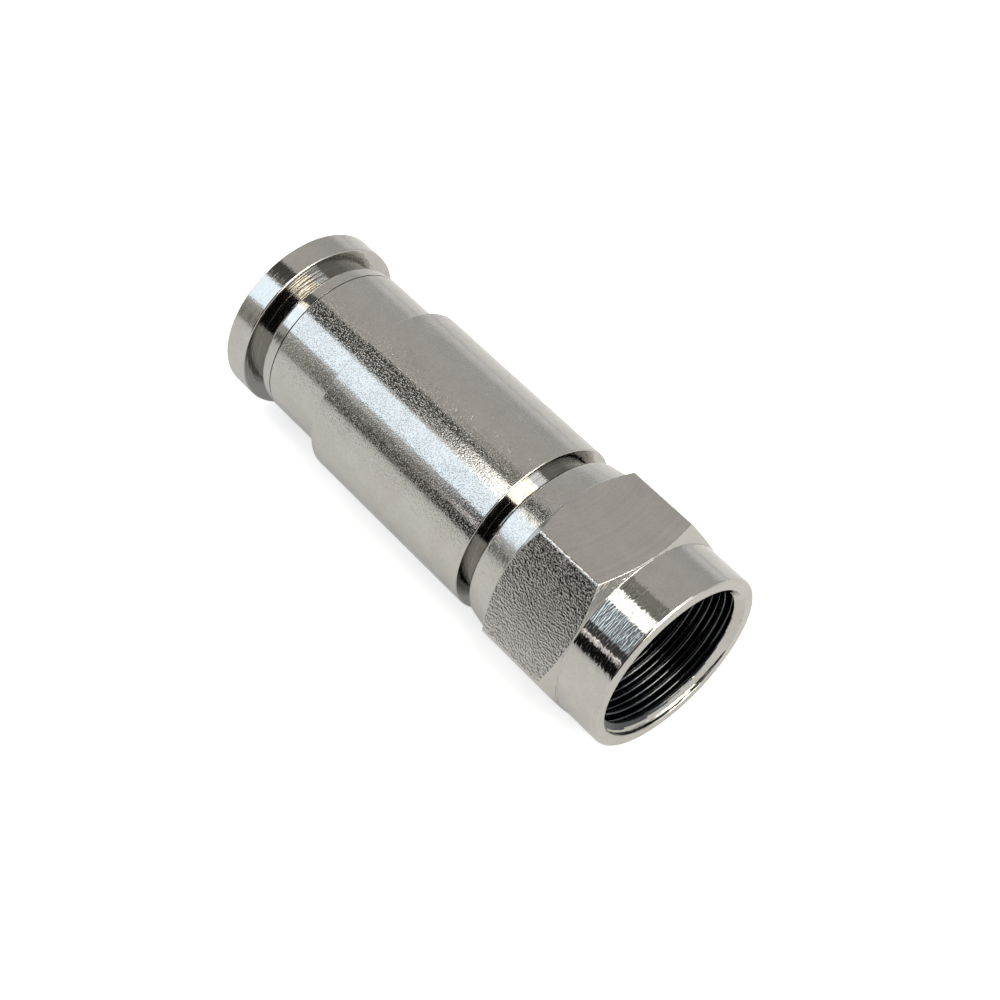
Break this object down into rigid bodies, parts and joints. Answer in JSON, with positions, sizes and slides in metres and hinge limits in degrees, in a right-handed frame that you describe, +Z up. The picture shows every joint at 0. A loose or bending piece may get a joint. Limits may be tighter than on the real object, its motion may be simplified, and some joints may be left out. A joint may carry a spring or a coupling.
{
  "type": "f connector",
  "caption": "Compression F connector for coaxial cable: free-turning hexagonal nut with an internal thread, round barrel, and a flanged rear sleeve that slides in over the cable.",
  "frame": {"origin": "on the connector's axis, in the plane where the nut's thread begins, 0.44 mm inside the nut's front face", "axes": "+X along the axis, out of the nut's threaded mouth; +Z up, square to one flat of the nut, with the opposite flat down"},
  "size_m": [0.0303, 0.0128, 0.0112],
  "materials": {
    "nut_plating": "nickel plate over turned brass, satin with turning marks",
    "body_plating": "nickel plate over brass, fine grained satin",
    "post_plating": "nickel plate, smooth turned",
    "grip_plastic": "natural white acetal",
    "seal_rubber": "black nitrile rubber"
  },
  "bodies": {
    "barrel": {"barrel": "body_plating", "inner_post": "post_plating", "nut_seal": "seal_rubber"},
    "nut": {"coupling_nut": "nut_plating"},
    "sleeve": {"compression_sleeve": "body_plating", "grip_ring": "grip_plastic", "jacket_seal": "seal_rubber"}
  },
  "joints": [
    {"name": "nut_spin", "type": "hinge", "parent": "barrel", "child": "nut", "pos_m": [0, 0, 0], "axis": [1, 0, 0], "continuous": true},
    {"name": "sleeve_press", "type": "slide", "parent": "barrel", "child": "sleeve", "axis": [1, 0, 0], "range_m": [0, 0.0045]}
  ]
}
